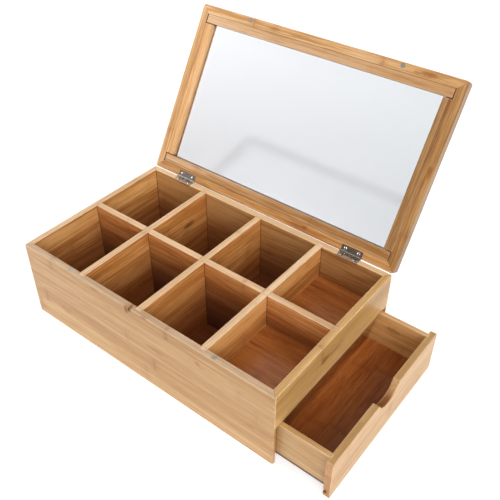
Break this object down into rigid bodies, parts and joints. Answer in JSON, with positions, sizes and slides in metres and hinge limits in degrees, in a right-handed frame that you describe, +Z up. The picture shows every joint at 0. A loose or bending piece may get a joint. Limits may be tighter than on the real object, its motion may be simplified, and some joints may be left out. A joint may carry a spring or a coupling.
{
  "type": "tea bag box with drawer",
  "caption": "Bamboo tea bag box with open cells under a hinged framed glass lid and a shallow drawer with a finger scoop at one end.",
  "frame": {"origin": "middle of the case's underside", "axes": "+X along the case towards the drawer end, +Y towards the hinge side, +Z up"},
  "size_m": [0.401, 0.3194, 0.274],
  "materials": {
    "case_bamboo": "satin lacquered bamboo",
    "lid_bamboo": "satin lacquered bamboo",
    "drawer_bamboo": "satin lacquered bamboo",
    "pane_glass": "clear",
    "hinge_metal": "polished nickel plate",
    "magnet_metal": "nickel plated magnet"
  },
  "bodies": {
    "case": {"front_wall": "case_bamboo", "back_wall": "case_bamboo", "left_wall": "case_bamboo", "right_end_panel": "case_bamboo", "base_panel": "case_bamboo", "drawer_bay_shelf": "case_bamboo", "long_divider": "case_bamboo", "cross_divider_left": "case_bamboo", "cross_divider_middle": "case_bamboo", "cross_divider_right": "case_bamboo", "case_magnet_left": "magnet_metal", "case_magnet_right": "magnet_metal", "hinge_left_case_leaf": "hinge_metal", "hinge_left_pin": "hinge_metal", "hinge_left_case_screws": "hinge_metal", "hinge_right_case_leaf": "hinge_metal", "hinge_right_pin": "hinge_metal", "hinge_right_case_screws": "hinge_metal"},
    "lid": {"lid_front_rail": "lid_bamboo", "lid_back_rail": "lid_bamboo", "lid_left_stile": "lid_bamboo", "lid_right_stile": "lid_bamboo", "glazing_bead_front": "lid_bamboo", "glazing_bead_back": "lid_bamboo", "glazing_bead_left": "lid_bamboo", "glazing_bead_right": "lid_bamboo", "lid_pane": "pane_glass", "lid_magnet_left": "magnet_metal", "lid_magnet_right": "magnet_metal", "hinge_left_lid_leaf": "hinge_metal", "hinge_left_lid_screws": "hinge_metal", "hinge_right_lid_leaf": "hinge_metal", "hinge_right_lid_screws": "hinge_metal"},
    "drawer": {"drawer_front": "drawer_bamboo", "drawer_near_side": "drawer_bamboo", "drawer_far_side": "drawer_bamboo", "drawer_back": "drawer_bamboo", "drawer_bottom": "drawer_bamboo"}
  },
  "joints": [
    {"name": "lid_hinge", "type": "hinge", "parent": "case", "child": "lid", "pos_m": [0, 0.1027, 0.09765], "axis": [-1, 0, 0], "range_deg": [-120.5, 0]},
    {"name": "drawer_slide", "type": "slide", "parent": "case", "child": "drawer", "axis": [1, 0, 0], "range_m": [-0.061, 0.006]}
  ]
}
